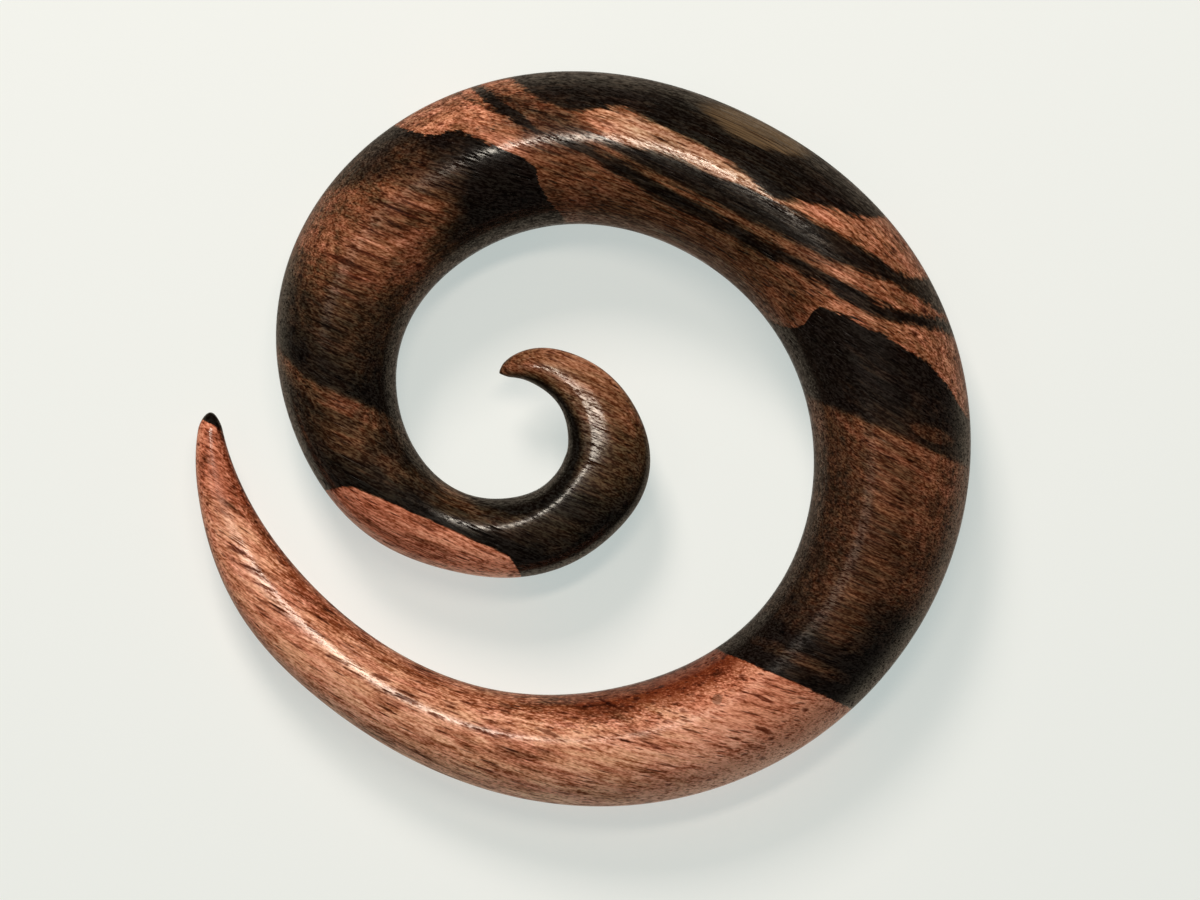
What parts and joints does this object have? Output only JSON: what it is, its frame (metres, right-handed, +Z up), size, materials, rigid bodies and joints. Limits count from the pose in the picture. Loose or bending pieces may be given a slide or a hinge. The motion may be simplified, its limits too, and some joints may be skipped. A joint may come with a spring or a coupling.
{
  "type": "spiral ear taper",
  "caption": "Wooden ear taper: a round rod carved as a flat open spiral, from a sharp inner point through a full wearing section to a thin blunt outer tip.",
  "frame": {"origin": "middle of the outline's box, on the surface that the taper rests on", "axes": "+Z up from that surface, +X and +Y across the flat of the spiral, with the outer tip at the -X side and its thin end pointing towards +Y"},
  "size_m": [0.0484, 0.046, 0.0097],
  "materials": {
    "taper_wood": "carved from one piece of red-brown hardwood with near-black streaks, sanded and polished to a soft gloss"
  },
  "bodies": {
    "root": {"taper": "taper_wood"}
  },
  "joints": []
}
